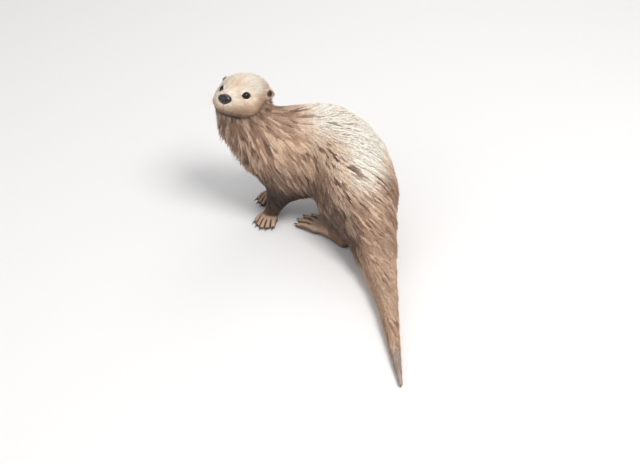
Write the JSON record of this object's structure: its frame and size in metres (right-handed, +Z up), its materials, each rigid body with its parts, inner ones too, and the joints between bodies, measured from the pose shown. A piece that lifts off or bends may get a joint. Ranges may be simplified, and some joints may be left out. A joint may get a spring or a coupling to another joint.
{
  "type": "river otter figure",
  "caption": "Life-size river otter crouched on four paws, back arched, head turned back over its left shoulder, tail laid out behind.",
  "frame": {"origin": "on the floor, under the middle of the model's bounding box", "axes": "+Z up; the hindquarters, tail root to tip, point along -Y; the chest and shoulders are towards -X"},
  "size_m": [0.4044, 0.6778, 0.3408],
  "materials": {
    "head_fur": "short dense fur, buff to cream, tan on the forehead and cheeks",
    "jaw_fur": "short dense fur, pale cream",
    "ear_fur": "very short brown fur",
    "neck_fur": "dense fur in slightly damp locks, brown with dark streaks",
    "back_fur": "dense fur in slightly damp locks, mid brown with pale tips on the back",
    "tail_fur": "short dense fur, brown, greyer towards the tip",
    "leg_fur": "short dense fur, dark brown",
    "paw_fur": "very short dark brown fur over webbed toes",
    "claw": "dark brown horn, satin",
    "nose_skin": "moist pebbled black skin",
    "eye": "wet, very dark brown, glossy"
  },
  "bodies": {
    "root": {"hindquarters": "back_fur", "chest": "back_fur", "neck": "neck_fur", "head": "head_fur", "lower_jaw": "jaw_fur", "ear_left": "ear_fur", "ear_right": "ear_fur", "eye_left": "eye", "eye_right": "eye", "nose": "nose_skin", "tail": "tail_fur", "front_left_leg": "leg_fur", "front_left_paw": "paw_fur", "front_left_claw_1": "claw", "front_left_claw_2": "claw", "front_left_claw_3": "claw", "front_left_claw_4": "claw", "front_left_claw_5": "claw", "front_right_leg": "leg_fur", "front_right_paw": "paw_fur", "front_right_claw_1": "claw", "front_right_claw_2": "claw", "front_right_claw_3": "claw", "front_right_claw_4": "claw", "front_right_claw_5": "claw", "hind_left_leg": "leg_fur", "hind_left_paw": "paw_fur", "hind_left_claw_1": "claw", "hind_left_claw_2": "claw", "hind_left_claw_3": "claw", "hind_left_claw_4": "claw", "hind_left_claw_5": "claw", "hind_right_leg": "leg_fur", "hind_right_paw": "paw_fur", "hind_right_claw_1": "claw", "hind_right_claw_2": "claw", "hind_right_claw_3": "claw", "hind_right_claw_4": "claw", "hind_right_claw_5": "claw"}
  },
  "joints": []
}
